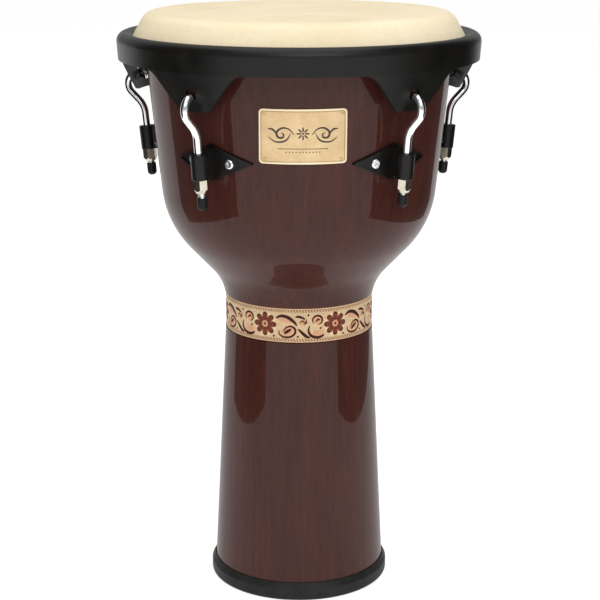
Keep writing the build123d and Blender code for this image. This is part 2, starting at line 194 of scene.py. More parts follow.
def place(tree, stretch=(1, 1, 1), turn=(0, 0, 0)):
    # object coordinates, stretched and turned
    coordinates = node(tree, "ShaderNodeTexCoord", {}).outputs["Object"]
    mapping = node(tree, "ShaderNodeMapping", {"Vector": coordinates, "Scale": stretch, "Rotation": turn})
    return mapping.outputs["Vector"]


def noise(tree, where, scale, detail=3.0, roughness=0.55, distortion=0.0):
    # a grey cloud; a scale of 100 makes clouds about a centimetre across
    inputs = {
        "Vector": where, "Scale": scale, "Detail": detail, "Roughness": roughness, "Distortion": distortion,
    }
    return node(tree, "ShaderNodeTexNoise", inputs).outputs["Fac"]


def cells(tree, scale):
    # the distance from the middle of small round cells, for pebbles and pores
    return node(tree, "ShaderNodeTexVoronoi", {"Vector": place(tree), "Scale": scale}).outputs["Distance"]


def ramp(tree, fac, stops):
    # a colour ramp of (position, grey or colour) stops
    made = node(tree, "ShaderNodeValToRGB", {"Fac": fac})
    elements = made.color_ramp.elements
    while len(elements) < len(stops):
        elements.new(0.5)
    for element, (position, colour) in zip(elements, stops):
        element.position = position
        element.color = (colour, colour, colour, 1) if np.isscalar(colour) else (*colour, 1)
    return made.outputs["Color"]


def mix(tree, fac, a, b, way="MIX"):
    # two colours or colour sockets, blended by a number or a socket
    first, second = (value if isSocket(value) else (*value, 1) for value in (a, b))
    made = node(tree, "ShaderNodeMix", {0: fac, 6: first, 7: second}, data_type="RGBA", blend_type=way)
    return made.outputs[2]


def tint(tree, tone, fac, stops):
    # a tone multiplied by a ramp of greys
    return mix(tree, 1.0, tone, ramp(tree, fac, stops), "MULTIPLY")


def paint(tree, shader, tone):
    tree.links.new(tone, shader.inputs["Base Color"])


def toolingMarks(tree):
    # the three channels of a piece's tooling attribute
    marks = node(tree, "ShaderNodeAttribute", {}, attribute_name="tooling")
    return node(tree, "ShaderNodeSeparateColor", {"Color": marks.outputs["Color"]}).outputs


def bump(tree, shader, height, distance, strength, socket="Normal"):
    # a pattern read as a height of that distance, which tilts the shading by its strength
    made = node(tree, "ShaderNodeBump", {"Height": height, "Distance": distance, "Strength": strength})
    tree.links.new(made.outputs["Normal"], shader.inputs[socket])


def spread(tree, shader, fac, low, high, socket="Roughness"):
    # a grey pattern stretched from low to high, which sets the roughness or another socket
    made = node(tree, "ShaderNodeMapRange", {"Value": fac, "To Min": low, "To Max": high})
    tree.links.new(made.outputs["Result"], shader.inputs[socket])


# the lacquer's clear coat, the gloss and roughness of the stain below it, the depth of its
# ripple, the grain's tones, and how far the figure and the pores darken them
lacquer = dict(
    coat=0.40, coatRough=0.035, satin=0.06, rough=(0.42, 0.6), ripple=0.2 * mm,
    darkGrain=(0.043, 0.0108, 0.0072), midGrain=(0.053, 0.0132, 0.0087), paleGrain=(0.070, 0.0175, 0.0112),
    figure=(0.84, 1.1), pores=(0.74, 1.0),
)


def mahoganyLacquer():
    # dark stained mahogany under a polished lacquer; the grain runs up the drum
    material, tree, shader = newMaterial("mahoganyLacquer", {
        "Specular IOR Level": lacquer["satin"], "Coat Weight": lacquer["coat"],
        "Coat Roughness": lacquer["coatRough"], "Coat IOR": 1.5,
    })
    grain = noise(tree, place(tree, (1, 1, 0.045)), 210, 6, 0.62, 0.25)
    figure = noise(tree, place(tree, (1, 1, 0.16)), 26, 4, 0.5, 1.2)
    pores = noise(tree, place(tree, (1, 1, 0.03)), 900, 2, 0.5)
    tone = ramp(tree, grain, [
        (0.3, lacquer["darkGrain"]), (0.52, lacquer["midGrain"]), (0.74, lacquer["paleGrain"]),
    ])
    tone = tint(tree, tone, figure, [(0.3, lacquer["figure"][0]), (0.7, lacquer["figure"][1])])
    tone = tint(tree, tone, pores, [(0.34, lacquer["pores"][0]), (0.42, lacquer["pores"][1])])
    paint(tree, shader, tone)
    spread(tree, shader, grain, *lacquer["rough"])
    ripple = noise(tree, place(tree, (1, 1, 0.5)), 34, 1, 0.4)
    bump(tree, shader, ripple, lacquer["ripple"], 0.35, "Coat Normal")
    return material


powderCoat = dict(
    dark=(0.0042, 0.0038, 0.0035), pale=(0.0080, 0.0073, 0.0065), satin=0.26, rough=(0.28, 0.44),
    tooth=0.05 * mm,
)


def blackSteel():
    # satin black powder coat with a fine tooth
    material, tree, shader = newMaterial("blackSteel", {"Specular IOR Level": powderCoat["satin"]})
    broad = noise(tree, place(tree), 42, 4, 0.6)
    fine = noise(tree, place(tree), 2600, 2, 0.5)
    paint(tree, shader, ramp(tree, broad, [(0.3, powderCoat["dark"]), (0.7, powderCoat["pale"])]))
    spread(tree, shader, broad, *powderCoat["rough"])
    bump(tree, shader, fine, powderCoat["tooth"], 0.35)
    return material


# plated metals: dark and pale tone, roughness range, the noise of their clouds, and the stretch
# and noise of the lines that turning left
plating = dict(
    chrome=dict(
        dark=(0.78, 0.785, 0.80), pale=(0.90, 0.90, 0.91), rough=(0.10, 0.22), clouds=(110, 4, 0.6, 0.4)
    ),
    zinc=dict(dark=(0.58, 0.59, 0.61), pale=(0.76, 0.77, 0.79), rough=(0.14, 0.3), clouds=(240, 3)),
    nickel=dict(
        dark=(0.52, 0.48, 0.385), pale=(0.66, 0.62, 0.52), rough=(0.12, 0.32), clouds=(180, 3),
        lines=(14, 260, 2),
    ),
)


def plated(name, metal):
    # bare metal with a cloudy tone, rougher in its clouds or along the lines of turning
    material, tree, shader = newMaterial(name, {"Metallic": 1.0})
    pattern = noise(tree, place(tree), *metal["clouds"])
    paint(tree, shader, ramp(tree, pattern, [(0.3, metal["dark"]), (0.7, metal["pale"])]))
    if "lines" in metal:
        stretch, *lines = metal["lines"]
        pattern = noise(tree, place(tree, (1, 1, stretch)), *lines)
    spread(tree, shader, pattern, *metal["rough"])
    return material


# moulded rubbers: dark and dusty tone, the dust's scale, and the roughness range
rubbers = dict(
    foot=dict(dark=(0.009, 0.0098, 0.009), dusty=(0.020, 0.0215, 0.020), scale=60, rough=(0.45, 0.66)),
    cap=dict(dark=(0.006, 0.006, 0.006), dusty=(0.013, 0.013, 0.0125), scale=120, rough=(0.4, 0.58)),
)


def rubber(name, kind):
    # moulded black rubber, slightly dusty, with a fine grain
    material, tree, shader = newMaterial(name, {"Specular IOR Level": 0.2})
    dust = noise(tree, place(tree), kind["scale"], 5, 0.6)
    paint(tree, shader, ramp(tree, dust, [(0.35, kind["dark"]), (0.7, kind["dusty"])]))
    spread(tree, shader, dust, *kind["rough"])
    bump(tree, shader, noise(tree, place(tree), 1800, 2), 0.08 * mm, 0.4)
    return material


# brushed brasses, with the badge's three marks: enamel, the darker groove and the polished border
brasses = dict(
    badge=dict(dark=(0.60, 0.425, 0.225), pale=(0.745, 0.555, 0.32), rough=(0.34, 0.5)),
    nail=dict(dark=(0.50, 0.33, 0.13), pale=(0.66, 0.47, 0.22), rough=(0.22, 0.36)),
    enamel=(0.030, 0.014, 0.008), groove=(0.30, 0.20, 0.09), polish=(0.90, 0.78, 0.56), metallic=0.75,
)


def brass(name, kind):
    # brushed gold-coloured brass; the brush marks run across the drum's front
    material, tree, shader = newMaterial(name, {"Metallic": brasses["metallic"]})
    cloud = noise(tree, place(tree), 60, 4, 0.6)
    brushed = noise(tree, place(tree, (0.03, 1, 1)), 2600, 3, 0.6)
    tone = ramp(tree, cloud, [(0.3, kind["dark"]), (0.7, kind["pale"])])
    tone = tint(tree, tone, brushed, [(0.3, 0.9), (0.7, 1.06)])
    spread(tree, shader, brushed, *kind["rough"])
    return material, tree, shader, tone


def badgeBrass():
    # the plate's brass, with dark enamel where the ornament is pressed in
    material, tree, shader, tone = brass("badgeBrass", brasses["badge"])
    enamel, groove, polish = toolingMarks(tree)
    tone = mix(tree, groove, tone, brasses["groove"])
    tone = mix(tree, polish, tone, brasses["polish"])
    tone = mix(tree, enamel, tone, brasses["enamel"])
    paint(tree, shader, tone)
    spread(tree, shader, enamel, brasses["metallic"], 0.0, "Metallic")
    return material


def nailBrass():
    material, tree, shader, tone = brass("nailBrass", brasses["nail"])
    paint(tree, shader, tone)
    return material


leather = dict(
    dark=(0.69, 0.49, 0.285), pale=(0.83, 0.63, 0.395), pressed=(0.20, 0.135, 0.058),
    blush=(0.52, 0.19, 0.10),
    dyes=[(0.45, (0.26, 0.072, 0.040)), (0.72, (0.15, 0.036, 0.019)), (0.95, (0.040, 0.0115, 0.0060))],
    rough=(0.36, 0.6), pebble=0.15 * mm,
)


def tooledLeather():
    # natural leather; the tooling attribute holds dye, blush and pressed ground
    material, tree, shader = newMaterial("tooledLeather", {"Specular IOR Level": 0.12})
    dye, blush, pressed = toolingMarks(tree)
    mottle = noise(tree, place(tree), 150, 5, 0.65)
    tone = ramp(tree, mottle, [(0.3, leather["dark"]), (0.7, leather["pale"])])
    tone = mix(tree, pressed, tone, leather["pressed"])
    tone = mix(tree, blush, tone, leather["blush"])
    # a fuller dye is both darker and more opaque
    cover = ramp(tree, dye, [(0.1, 0.0), (0.5, 1.0)])
    paint(tree, shader, mix(tree, cover, tone, ramp(tree, dye, leather["dyes"])))
    spread(tree, shader, mottle, *leather["rough"])
    bump(tree, shader, cells(tree, 1250), leather["pebble"], 0.35)
    return material


hide = dict(
    tones=[(0.28, (0.80, 0.67, 0.44)), (0.5, (0.875, 0.75, 0.515)), (0.75, (0.92, 0.81, 0.585))],
    streaks=(0.955, 1.02), pores=(0.90, 1.0), rough=(0.42, 0.62), fibre=0.06 * mm,
)


def rawhide():
    # scraped goat hide: creamy, faintly clouded, with slanting fibres and fine pores
    material, tree, shader = newMaterial("rawhide", {"Specular IOR Level": 0.15})
    cloud = noise(tree, place(tree), 9, 5, 0.6, 0.6)
    fibres = noise(tree, place(tree, (1, 0.25, 1), (0, 0, 0.35)), 320, 4, 0.6)
    tone = ramp(tree, cloud, hide["tones"])
    tone = tint(tree, tone, fibres, [(0.3, hide["streaks"][0]), (0.7, hide["streaks"][1])])
    tone = tint(tree, tone, cells(tree, 620), [(0.0, hide["pores"][0]), (0.16, hide["pores"][1])])
    paint(tree, shader, tone)
    spread(tree, shader, fibres, *hide["rough"])
    bump(tree, shader, fibres, hide["fibre"], 0.4)
    return material


finishes = {
    "mahogany_lacquer": mahoganyLacquer(),
    "tooled_leather": tooledLeather(),
    "foot_rubber": rubber("footRubber", rubbers["foot"]),
    "badge_brass": badgeBrass(),
    "nail_brass": nailBrass(),
    "rawhide": rawhide(),
    "black_steel": blackSteel(),
    "plain_steel": plated("plainSteel", plating["zinc"]),
    "chrome": plated("chrome", plating["chrome"]),
    "nut_nickel": plated("nutNickel", plating["nickel"]),
    "cap_rubber": rubber("capRubber", rubbers["cap"]),
}
for part in record["subparts"]:
    nodes[part["node"]].data.materials.clear()
    nodes[part["node"]].data.materials.append(finishes[part["material_slot"]])
print("finishes made:", len(finishes))


def dress(piece, slot, body, replaced):
    # gives a new piece its finish and its body, if it has one, and hides the CAD node that it stands for
    piece.data.materials.append(finishes[slot])
    if body:
        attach(piece, body)
    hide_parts(replaced)


# the shell: a bowl on a stem, joined by a spigot behind the waist band. Radii go outwards from the
# axis, and heights that end in Up are counted from the joint, except the foot's
shell = dict(
    waist=77.4 * mm, joint=297 * mm, neckUp=30.1 * mm, neckSweep=56 * mm,
    shoulder=139.3 * mm, shoulderUp=95.5 * mm, shoulderSweep=100 * mm,
    rim=161.7 * mm, rimUp=311.4 * mm, wall=16 * mm, bearing=13 * mm, bearingInner=1.2 * mm,
    foot=92 * mm, footWall=12 * mm, footUp=5 * mm, spigot=69 * mm, spigotLength=20 * mm,
    play=0.1 * mm, grooveDepth=1.0 * mm, bandWidth=36.9 * mm, edge=0.25 * mm, stemInside=4 * mm, around=288,
)
rimHeight = shell["joint"] + shell["rimUp"]
shoulderHeight = shell["joint"] + shell["shoulderUp"]
taper = atan2(shell["rim"] - shell["shoulder"], rimHeight - shoulderHeight)
grooveRadius = shell["waist"] - shell["grooveDepth"]
bandHalf = shell["bandWidth"] / 2
bandLow, bandHigh = shell["joint"] - bandHalf, shell["joint"] + bandHalf


def wallRadius(height):
    # the bowl's upper wall is a cone: the radius falls by tan(taper) for each metre down
    return shell["rim"] - (rimHeight - height) * tan(taper)


def stemRadius(height):
    # the stem is a cone from the waist, at the joint, out to the foot
    slope = (shell["foot"] - shell["waist"]) / (shell["joint"] - shell["footUp"])
    return shell["waist"] + (shell["joint"] - height) * slope


def bowlSection():
    # outside: up the waist, round the neck, along the underside, round the shoulder and up the
    # wall. Inside: the same corners moved in by the wall, where two moved lines cross.
    waist, wall, joint, edge = shell["waist"], shell["wall"], shell["joint"], shell["edge"]
    neck = np.array([waist, joint + shell["neckUp"]])
    shoulder = np.array([shell["shoulder"], shoulderHeight])
    rim = np.array([shell["rim"], rimHeight])
    slope = atan2(shoulder[0] - neck[0], shoulder[1] - neck[1])
    innerNeck = neck + wall * np.array([-1, tan(slope / 2)])
    lean = (slope + taper) / 2
    bisector = np.array([-cos(lean), sin(lean)])
    innerShoulder = shoulder + bisector * wall / cos((slope - taper) / 2)
    innerRim = np.array([shell["rim"] - wall / cos(taper), rimHeight])
    socket = shell["spigot"] + shell["play"]
    socketTop = joint + shell["spigotLength"] + shell["play"]
    corners = [
        (waist, joint), neck, shoulder, rim, innerRim, innerShoulder, innerNeck,
        (waist - wall, socketTop), (socket, socketTop), (socket, joint),
    ]
    radii = [
        0, shell["neckSweep"], shell["shoulderSweep"], shell["bearing"], shell["bearingInner"],
        shell["shoulderSweep"] - wall, shell["neckSweep"] + wall, edge, edge, edge,
    ]
    path = roundedPath(corners, radii, closed=True, turnStep=2.0)
    # the band's groove is cut into the foot of the neck's round, and its upper lip is broken
    last = np.argmax(path[:, 1])
    low = np.arange(len(path)) < last
    lip = np.interp(bandHigh, path[:last, 1], path[:last, 0])
    groove = [
        (grooveRadius, joint), (grooveRadius, joint + edge),
        (grooveRadius, bandHigh - edge), (grooveRadius, bandHigh),
        (grooveRadius + edge, bandHigh), (lip - 2 * edge, bandHigh),
        (lip - 0.7 * edge, bandHigh + 0.1 * edge), (lip - 0.1 * edge, bandHigh + 0.7 * edge),
    ]
    return np.concatenate([groove, path[~low | (path[:, 1] > bandHigh + 2 * edge)]])


def stemSection():
    # a straight cone outside and in, with the spigot standing on it
    joint, spigot, inner = shell["joint"], shell["spigot"], shell["waist"] - shell["wall"]
    spigotTop = joint + shell["spigotLength"]
    corners = [
        (shell["foot"] - shell["footWall"], shell["footUp"]), (shell["foot"], shell["footUp"]),
        (stemRadius(bandLow), bandLow), (grooveRadius, bandLow), (grooveRadius, joint),
        (spigot, joint), (spigot, spigotTop), (inner, spigotTop), (inner, joint),
    ]
    radii = [shell["edge"]] * (len(corners) - 1) + [shell["stemInside"]]
    return roundedPath(corners, radii, closed=True, turnStep=15)


dress(lathe("bowl", bowlSection(), shell["around"]), "mahogany_lacquer", "shell", "shell_bowl")
dress(lathe("stem", stemSection(), shell["around"]), "mahogany_lacquer", "shell", "shell_stem")
print("shell turned")

footRing = dict(
    radius=95.8 * mm, height=19 * mm, inner=79 * mm, lip=0.8 * mm, shoulder=12.5 * mm, edge=3 * mm,
    innerEdge=0.8 * mm, lipEdge=0.2 * mm,
)


def footSection():
    # a rubber moulding: flat sole, rounded outer edge, sloping lip, and a seat for the stem
    inner, outer, height = footRing["inner"], footRing["radius"], footRing["height"]
    atLip = stemRadius(height)
    corners = [
        (inner, 0), (outer, 0), (outer, footRing["shoulder"]), (atLip + footRing["lip"], height),
        (atLip, height), (shell["foot"], shell["footUp"]), (inner, shell["footUp"]),
    ]
    innerEdge = footRing["innerEdge"]
    radii = [innerEdge, footRing["edge"], footRing["edge"]] + [footRing["lipEdge"]] * 3 + [innerEdge]
    return roundedPath(corners, radii, closed=True, turnStep=10)


dress(lathe("footRing", footSection(), shell["around"]), "foot_rubber", "shell", "foot_ring")
print("foot ring moulded")

# the waist band's tooling is drawn in millimetres, x round the band and y up it. One repeat has a
# flower at its origin; pitch and start are its angles in degrees
band = dict(
    pitch=55.4, start=-28.2, radius=78.0, columns=1320, rows=72, thickness=1.6 * mm, inset=0.35 * mm,
    relief=0.32, edgeLine=0.7, beadRow=15.2, beadPitch=3.0, beadSize=1.15, lineOff=1.35, lineWidth=0.26,
    punchPitch=2.7, punchMargin=1.6, swell=1.55, dotSize=1.15, seam=0.5,
    flower=dict(
        petals=8, up=0.4, out=7.6, long=4.9, wide=2.85, flare=0.17, tip=9.0, heart=3.4, eye=1.25,
        clear=12.2,
    ),
    # the leaves' and buds' insides: centre, half sizes and turn
    fills=[
        ((24.0, -6.2), (7.4, 5.4), 0.35), ((55.6, 5.0), (5.0, 4.6), 0.0), ((56.6, -7.8), (6.6, 3.4), 0.15),
        ((21.4, 5.0), (8.0, 2.7), -0.25), ((40.4, 3.4), (4.2, 3.0), 0.5),
    ],
    # the brush strokes' middle lines and widths: arched leaf, curled leaf, bud, moon leaf and sprigs
    strokes=[
        ([(12.6, 7.6), (17.6, 10.0), (24.6, 8.8), (31.0, 4.2), (34.0, 0.4)], 2.3),
        ([(15.6, -5.4), (15.8, -9.4), (20.4, -12.2), (27.2, -12.0), (32.0, -8.4), (32.2, -3.4),
          (28.0, -0.6), (23.0, -2.2), (20.6, -6.2)], 1.5),
        ([(21.4, -8.4), (24.6, -6.0), (28.0, -3.8)], 2.0),
        ([(33.0, 9.4), (37.0, 9.4), (42.4, 7.2)], 1.8),
        ([(35.6, -3.6), (39.8, -7.8), (44.2, -11.6), (47.4, -12.6)], 2.1),
        ([(47.2, -0.8), (46.2, -5.8), (49.4, -11.0), (56.4, -12.8), (62.4, -10.6), (65.4, -8.0)], 1.9),
        ([(51.2, 2.6), (50.4, 6.6), (53.4, 9.8), (57.8, 9.8), (60.6, 6.8), (60.2, 2.8), (57.0, 0.8)], 1.35),
        ([(54.0, 4.2), (56.2, 6.2), (58.2, 5.4)], 1.2),
        ([(62.4, 11.4), (66.0, 10.6), (68.4, 9.4)], 1.2),
        ([(41.8, 0.8), (43.8, 3.8), (43.6, 6.6)], 0.9),
        ([(37.0, 2.6), (39.6, 5.4), (43.0, 2.6), (45.4, 3.4)], 0.8),
    ],
    dots=[(9.8, -11.6), (59.0, -3.0), (35.2, -11.8), (46.2, 11.0)],
)


def curvePoints(points, count=26):
    # a smooth curve through a few set points: Catmull-Rom, with its ends repeated
    p = np.asarray(points, float)
    p = np.concatenate([p[:1], p, p[-1:]])
    t = np.linspace(0, len(p) - 3 - 1e-6, count)
    i = t.astype(int)
    f = (t - i)[:, None]
    a, b, c, d = p[i], p[i + 1], p[i + 2], p[i + 3]
    return 0.5 * (2 * b + (c - a) * f + (2 * a - 5 * b + 4 * c - d) * f**2 + (3 * b - a - 3 * c + d) * f**3)


def stroke(x, y, points, width, taperEnds):
    # how far inside a brush stroke each place is, in its own unit: half the stroke's width
    # there, which swells along it as a sine, less the distance to its middle line
    line = curvePoints(points)
    a, b = line[:-1], line[1:]
    run = b - a
    px, py = x[..., None] - a[:, 0], y[..., None] - a[:, 1]
    t = np.clip((px * run[:, 0] + py * run[:, 1]) / np.maximum((run**2).sum(1), 1e-9), 0, 1)
    gap = np.hypot(px - t * run[:, 0], py - t * run[:, 1])
    along = (np.arange(len(run)) + t) / len(run)
    half = width / 2 * (1 - taperEnds + taperEnds * np.sin(pi * np.clip(along, 0, 1)))
    return (half - gap).max(axis=-1)


def ellipse(x, y, centre, size, turn):
    # one at the middle of an ellipse, nought on its edge, and below nought outside it
    c, s = cos(turn), sin(turn)
    dx, dy = x - centre[0], y - centre[1]
    return 1 - np.hypot((dx * c + dy * s) / size[0], (dy * c - dx * s) / size[1])


def soft(inside, blur):
    # nought outside, one inside, with a soft step of that width between
    return np.clip(inside / blur + 0.5, 0, 1)


def bandFlower(x, y):
    # petals folded from one, each a dome with a crease along it, round a heart with a dark eye
    flower = band["flower"]
    r, a = np.hypot(x, y - flower["up"]), np.arctan2(y - flower["up"], x)
    half = pi / flower["petals"]
    folded = (a + half) % (2 * half) - half
    px, py = r * np.cos(folded), r * np.sin(folded)
    out = px - flower["out"]
    petal = 1 - np.hypot(out / flower["long"], py / (flower["wide"] + flower["flare"] * out))
    inPetal = soft(petal, 0.14)
    crease = np.exp(-((py / 0.55) ** 2)) * np.clip((11 - px) / 4, 0, 1)
    rim = np.exp(-(((petal - 0.08) / 0.13) ** 2))
    tip = np.clip((px - flower["tip"]) / 3, 0, 1)
    heart = soft(flower["heart"] - r, 0.35)
    dye = inPetal * (0.58 + 0.40 * np.maximum.reduce([0.8 * crease, rim, tip])) * (1 - heart)
    dye = np.maximum(dye, soft(flower["eye"] - r, 0.35))
    relief = inPetal * (0.5 + 0.5 * np.clip(petal, 0, 1)) * (1 - 0.5 * crease)
    relief = relief * (1 - heart) + heart * 0.9 * np.clip(1.2 - r / 4, 0, 1)
    return dye, heart * 0.7, relief, soft(flower["clear"] - r, 1.0)


def bandTooling(x, y):
    # one repeat: it returns dye, blush and pressed ground, from nought to one, and the relief
    dye, blush, relief, keep = bandFlower(x, y)
    for centre, size, turn in band["fills"]:
        inside = ellipse(x, y, centre, size, turn)
        blush = np.maximum(blush, soft(inside, 0.3) * 0.58)
        relief = np.maximum(relief, soft(inside, 0.3) * (0.35 + 0.5 * np.clip(inside, 0, 1)))
        keep = np.maximum(keep, soft(inside + 0.1, 0.3))
    for points, width in band["strokes"]:
        inside = stroke(x, y, points, width * band["swell"], 0.6)
        dye = np.maximum(dye, soft(inside, 0.3))
        relief = np.where(inside > -0.5, np.minimum(relief, 0.15 - 0.4 * soft(inside, 0.4)), relief)
        keep = np.maximum(keep, soft(inside + 0.4, 0.4))
    for centre in band["dots"]:
        dot = band["dotSize"] - np.hypot(x - centre[0], y - centre[1])
        dye = np.maximum(dye, soft(dot, 0.35))
        keep = np.maximum(keep, soft(dot + 0.4, 0.4))
    # the ground between them is pressed down with a small cross-hatched punch
    inField = soft(band["beadRow"] - band["punchMargin"] - np.abs(y), 0.4)
    punch = np.sin(x * 2 * pi / band["punchPitch"]) * np.sin(y * 2 * pi / band["punchPitch"])
    ground = inField * (1 - keep)
    relief += ground * (-0.75 + 0.22 * punch)
    pressed = ground * (0.08 + 0.60 * soft(-0.25 - punch, 0.3))
    return dye, blush, pressed, relief


def bandBorders(x, y, dye, pressed, relief):
    # a rope of slanting beads along each border, between fine lines, and a dark cut edge
    row = np.abs(y) - band["beadRow"]
    bead = np.cos((x + np.sign(y) * row * 0.9) * 2 * pi / band["beadPitch"])
    inRope = soft(band["beadSize"] - np.abs(row), 0.3)
    relief = relief + inRope * (0.25 + 0.55 * bead)
    dye = np.maximum(dye, inRope * soft(-bead, 1.0) * 0.72)
    for off in (-band["lineOff"], band["lineOff"]):
        line = np.exp(-(((row - off) / band["lineWidth"]) ** 2))
        relief = relief - 0.5 * line
        pressed = np.maximum(pressed, line)
    edge = soft(np.abs(y) - (bandHalf / mm - band["edgeLine"]), 0.3)
    return np.maximum(dye, edge), pressed, relief


def waistBand():
    # Grid of angle by section. The outer rows stand at the band's radius plus the relief; the
    # other rows run round the edges and over the back, where there is no tooling. The strip's
    # two ends meet in a dark seam at the back of the drum.
    rows, around = band["rows"], band["columns"]
    turn = np.arange(around) * 360 / around - 180
    pitch = radians(band["pitch"]) * band["radius"]
    x = np.radians(turn - band["start"]) * band["radius"]
    reach = bandHalf / mm - 0.25
    y, x = np.meshgrid(np.linspace(-reach, reach, rows), x, indexing="ij")
    # each repeat starts a little before its own flower
    back = band["flower"]["clear"] + 0.4
    within = (x + back) % pitch - back
    dye, blush, pressed, relief = bandTooling(within, y)
    dye, pressed, relief = bandBorders(x, y, dye, pressed, relief)
    fromSeam = (180 - np.abs(turn)) * radians(1) * band["radius"]
    dye = np.maximum(dye, soft(band["seam"] - fromSeam, 0.3)[None])
    relief = relief * soft(fromSeam - 1.2, 1.0)[None]
    outer = grooveRadius + band["thickness"] - band["inset"]
    fade = soft(bandHalf / mm - 0.8 - np.abs(y[:, :1]), 1.2)
    radius = outer + relief * fade * band["relief"] * mm
    height = shell["joint"] + y * mm
    # edges and back: small rounded corners, then straight down the inside
    inner = grooveRadius + 0.02 * mm
    rest = np.array([
        (outer - 0.25 * mm, bandHigh - 0.03 * mm), (outer - 0.6 * mm, bandHigh),
        (inner + 0.1 * mm, bandHigh), (inner, bandHigh - 0.1 * mm),
        (inner, bandLow + 0.1 * mm), (inner + 0.1 * mm, bandLow),
        (outer - 0.6 * mm, bandLow), (outer - 0.25 * mm, bandLow + 0.03 * mm),
    ])
    radius = np.concatenate([radius, rest[:, :1] + np.zeros((1, around))])
    height = np.concatenate([height, rest[:, 1:] + np.zeros((1, around))])
    rings = roundDrum(radius, np.radians(turn), height)
    colours = np.zeros((len(radius), around, 3))
    colours[:rows] = np.stack([dye, blush, pressed], axis=-1)
    colours[rows:, :, 0] = 0.9
    return makeMesh("waistBand", rings, closed=True, colours=colours)


dress(waistBand(), "tooled_leather", "shell", "waist_band")
print("waist band tooled")

# the badge's face is drawn in millimetres from its middle, x to the right and y up
badge = dict(
    width=84.8, height=54.0, corner=4.0, thickness=0.9, border=2.2, rise=0.6, pressed=0.22,
    groove=0.12, grooveWidth=0.35, up=206 * mm, around=640, borderRings=18, rings=74, middle=0.02,
    ornament=dict(
        petals=8, up=3.2, size=6.4, heart=1.9, eye=1.0, ruleDown=11.6, ruleLong=24.0, ruleThick=0.32,
        dotsDown=14.8, dotsLong=17.5, dotPitch=3.2, dotSize=0.62,
    ),
    # the scrolls' middle lines and widths, on the right-hand side
    scrolls=[
        ([(8.6, 2.2), (13.5, 7.6), (20.0, 8.6), (25.0, 4.6), (23.8, -0.4), (19.4, -0.6), (18.6, 2.6),
          (20.8, 3.8)], 2.1),
        ([(24.6, 1.8), (28.6, 6.8), (33.4, 7.6)], 1.9),
        ([(12.0, 3.4), (14.6, -1.6), (19.0, -4.6), (26.4, -4.8), (32.6, -0.6)], 1.7),
    ],
)


def badgeOutline(count):
    # a rounded rectangle, walked at even steps
    w, h = badge["width"] / 2, badge["height"] / 2
    corners = [(w, h), (-w, h), (-w, -h), (w, -h)]
    path = roundedPath(corners, [badge["corner"]] * 4, closed=True, turnStep=4, guard=0.1)
    path = np.concatenate([path, path[:1]])
    along = np.concatenate([[0], np.cumsum(np.linalg.norm(np.diff(path, axis=0), axis=1))])
    s = np.arange(count) / count * along[-1]
    return np.stack([np.interp(s, along, path[:, k]) for k in (0, 1)], axis=1)


def fromEdge(x, y):
    # distance in from the badge's outline: the rounded rectangle's own distance formula
    w, h, c = badge["width"] / 2, badge["height"] / 2, badge["corner"]
    dx, dy = np.abs(x) - w + c, np.abs(y) - h + c
    return c - np.hypot(np.maximum(dx, 0), np.maximum(dy, 0)) - np.minimum(np.maximum(dx, dy), 0)


def badgeOrnament(x, y):
    # the same left and right: a rosette, leaf scrolls, a thin rule and a row of dots
    ornament = badge["ornament"]
    ax = np.abs(x)
    r, a = np.hypot(x, y - ornament["up"]), np.arctan2(y - ornament["up"], x)
    star = ornament["size"] * (0.62 + 0.38 * np.cos(ornament["petals"] * a)) - r
    rule = np.minimum(ornament["ruleThick"] - np.abs(y + ornament["ruleDown"]), ornament["ruleLong"] - ax)
    gap = ornament["dotPitch"] / 2
    dots = ornament["dotSize"] - np.hypot((ax + gap) % (2 * gap) - gap, y + ornament["dotsDown"])
    inside = [
        np.minimum(star, r - ornament["heart"]), ornament["eye"] - r, rule,
        np.minimum(dots, ornament["dotsLong"] - ax),
    ]
    inside += [stroke(ax, y, points, width, 0.7) for points, width in badge["scrolls"]]
    return soft(np.maximum.reduce(inside), 0.25)


def badgePlate():
    # Rings of the outline shrunk towards the middle. Each point stands off the wall by a height
    # set by its distance in from the edge; four rings run down the rim and under the plate.
    outline = badgeOutline(badge["around"])
    middle, thickness, around = badge["middle"], badge["thickness"], badge["around"]
    border = 1 - badge["border"] * 1.35 / (badge["height"] / 2)
    shrink = np.concatenate([
        np.linspace(1, border, badge["borderRings"])[:-1], np.linspace(border, middle, badge["rings"])
    ])
    x, y = np.moveaxis(outline[None] * shrink[:, None, None], 2, 0)
    inside = fromEdge(x, y)
    inside[0] = 0
    ridge = np.clip(inside / badge["border"], 0, 1)
    ink = badgeOrnament(x, y)
    groove = np.exp(-((inside - badge["border"] - badge["grooveWidth"]) / badge["grooveWidth"]) ** 2)
    out = thickness + badge["rise"] * np.sin(pi * ridge) ** 0.6 - badge["pressed"] * ink
    out -= badge["groove"] * groove
    polish = np.clip(np.sin(pi * ridge), 0, 1) * (inside < badge["border"])
    colours = np.stack([ink, groove * 0.9, polish], axis=-1)
    # under the plate and up its rim
    below = np.array([(middle, 0.02), (0.985, 0.02), (1.0, 0.1), (1.0, thickness - 0.15)])
    belowX, belowY = np.moveaxis(outline[None] * below[:, :1, None], 2, 0)
    x, y = np.concatenate([belowX, x]), np.concatenate([belowY, y])
    out = np.concatenate([np.repeat(below[:, 1:], around, axis=1), out]) * mm
    colours = np.concatenate([np.zeros((len(below), around, 3)), colours])
    # laid on the cone of the wall
    upWall = shell["joint"] + badge["up"] + y * mm * cos(taper)
    radius = wallRadius(upWall) + out * cos(taper)
    angle = np.arcsin(x * mm / radius)
    height = upWall - out * sin(taper) + radius * (1 - np.cos(angle)) * sin(taper)
    rings = roundDrum(radius, angle, height)
    return makeMesh("badgePlate", rings, poles=(rings[0].mean(0), rings[-1].mean(0)), colours=colours)


